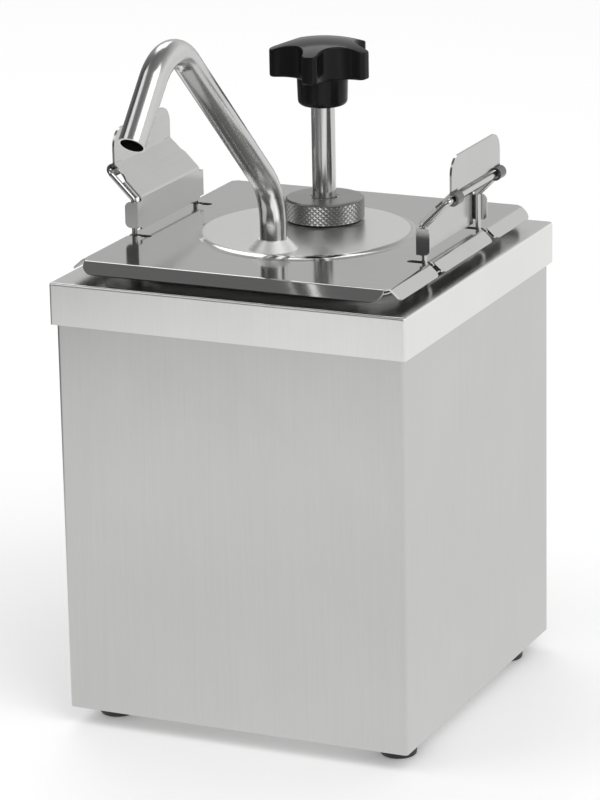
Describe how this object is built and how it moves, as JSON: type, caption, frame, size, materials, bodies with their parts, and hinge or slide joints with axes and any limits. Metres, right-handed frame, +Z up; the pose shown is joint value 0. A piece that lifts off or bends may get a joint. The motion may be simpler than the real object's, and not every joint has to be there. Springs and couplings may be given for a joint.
{
  "type": "condiment dispenser",
  "caption": "Countertop pump dispenser: square steel housing, drop-in pan, lid with clips, plunger pump with knob and bent spout.",
  "frame": {"origin": "on the floor, under the middle of the whole object, spout included", "axes": "+Z up, +X to the right, the spout reaches out along -Y"},
  "size_m": [0.201, 0.3122, 0.3895],
  "materials": {
    "housing_steel": "stainless steel, vertical brushed grain",
    "rim_steel": "stainless steel, fine grain along the band",
    "base_steel": "plain stainless sheet",
    "fastener_steel": "plain steel fasteners",
    "pan_steel": "drawn stainless steel, satin",
    "lid_steel": "stainless sheet, fine grain, nearly mirror-like",
    "gasket_rubber": "black rubber",
    "pump_steel": "turned stainless steel",
    "ball_steel": "polished stainless balls",
    "spout_steel": "polished stainless tube",
    "cone_steel": "polished stainless cone",
    "bush_plastic": "off-white acetal",
    "seal_rubber": "black rubber",
    "collar_steel": "diamond-knurled stainless steel with a turned top",
    "piston_plastic": "white acetal",
    "spring_steel": "stainless spring wire",
    "rod_steel": "polished stainless rod",
    "knob_plastic": "glossy black phenolic plastic",
    "insert_brass": "turned brass",
    "bail_wire": "bright stainless wire",
    "lever_steel": "satin stainless sheet",
    "foot_rubber": "black rubber"
  },
  "bodies": {
    "housing": {"housing_body": "housing_steel", "rim_frame": "rim_steel", "base_plate": "base_steel", "foot_screws": "fastener_steel", "foot_nuts": "fastener_steel", "front_left_foot": "foot_rubber", "front_right_foot": "foot_rubber", "back_left_foot": "foot_rubber", "back_right_foot": "foot_rubber"},
    "pan": {"food_pan": "pan_steel"},
    "lid": {"lid": "lid_steel", "lid_gasket": "gasket_rubber", "pump_mount_boss": "pump_steel", "pump_barrel": "pump_steel", "valve_body": "pump_steel", "inlet_seat": "pump_steel", "ball_retainer_pin": "pump_steel", "outlet_seat": "pump_steel", "discharge_union": "pump_steel", "spout_tube": "spout_steel", "spout_cone": "cone_steel", "return_spring": "spring_steel"},
    "inlet_ball": {"inlet_ball": "ball_steel"},
    "outlet_ball": {"outlet_ball": "ball_steel"},
    "rod_guide": {"rod_guide_bush": "bush_plastic", "rod_wiper_seal": "seal_rubber"},
    "collar": {"knurled_collar": "collar_steel"},
    "spring_seat": {"spring_seat_washer": "piston_plastic"},
    "plunger": {"plunger_rod": "rod_steel", "rod_stop_ring": "pump_steel", "piston": "piston_plastic", "lower_piston_seal": "seal_rubber", "upper_piston_seal": "seal_rubber", "piston_nut": "fastener_steel", "knob": "knob_plastic", "knob_insert": "insert_brass"},
    "right_bail": {"right_bail": "bail_wire"},
    "left_bail": {"left_bail": "bail_wire"},
    "right_lever": {"right_lever": "lever_steel"},
    "left_lever": {"left_lever": "lever_steel"}
  },
  "joints": [
    {"name": "pan_lift", "type": "slide", "parent": "housing", "child": "pan", "axis": [0, 0, 1], "range_m": [0, 0.21]},
    {"name": "lid_lift", "type": "slide", "parent": "pan", "child": "lid", "axis": [0, 0, 1], "range_m": [0, 0.21]},
    {"name": "collar_lift", "type": "slide", "parent": "lid", "child": "rod_guide", "axis": [0, 0, 1], "range_m": [0, 0.006]},
    {"name": "collar_turn", "type": "hinge", "parent": "rod_guide", "child": "collar", "pos_m": [0, 0.07511, 0.2556], "axis": [0, 0, 1], "range_deg": [0, 1440]},
    {"name": "plunger_press", "type": "slide", "parent": "rod_guide", "child": "spring_seat", "axis": [0, 0, -1], "range_m": [0, 0.045], "stiffness_N_per_m": 450, "springref_m": -0.018, "deforming": ["return_spring"]},
    {"name": "plunger_spin", "type": "hinge", "parent": "spring_seat", "child": "plunger", "pos_m": [0, 0.07511, 0.2556], "axis": [0, 0, 1], "continuous": true},
    {"name": "inlet_ball_lift", "type": "slide", "parent": "lid", "child": "inlet_ball", "axis": [0, 0, 1], "range_m": [0, 0.003]},
    {"name": "outlet_ball_lift", "type": "slide", "parent": "lid", "child": "outlet_ball", "axis": [0, 0, 1], "range_m": [0, 0.003]},
    {"name": "right_bail_swing", "type": "hinge", "parent": "lid", "child": "right_bail", "pos_m": [0.083, 0.0511, 0.2551], "axis": [0, 1, 0], "range_deg": [0, 18]},
    {"name": "right_lever_tip", "type": "hinge", "parent": "right_bail", "child": "right_lever", "pos_m": [0.097, 0.0511, 0.2889], "axis": [0, 1, 0], "range_deg": [0, 95]},
    {"name": "left_bail_swing", "type": "hinge", "parent": "lid", "child": "left_bail", "pos_m": [-0.083, 0.0511, 0.2551], "axis": [0, -1, 0], "range_deg": [0, 18]},
    {"name": "left_lever_tip", "type": "hinge", "parent": "left_bail", "child": "left_lever", "pos_m": [-0.097, 0.0511, 0.2889], "axis": [0, -1, 0], "range_deg": [0, 95]}
  ],
  "couplings": [
    {"joint": "collar_lift", "follows": "collar_turn", "m_per_rad": 0.0002387}
  ]
}
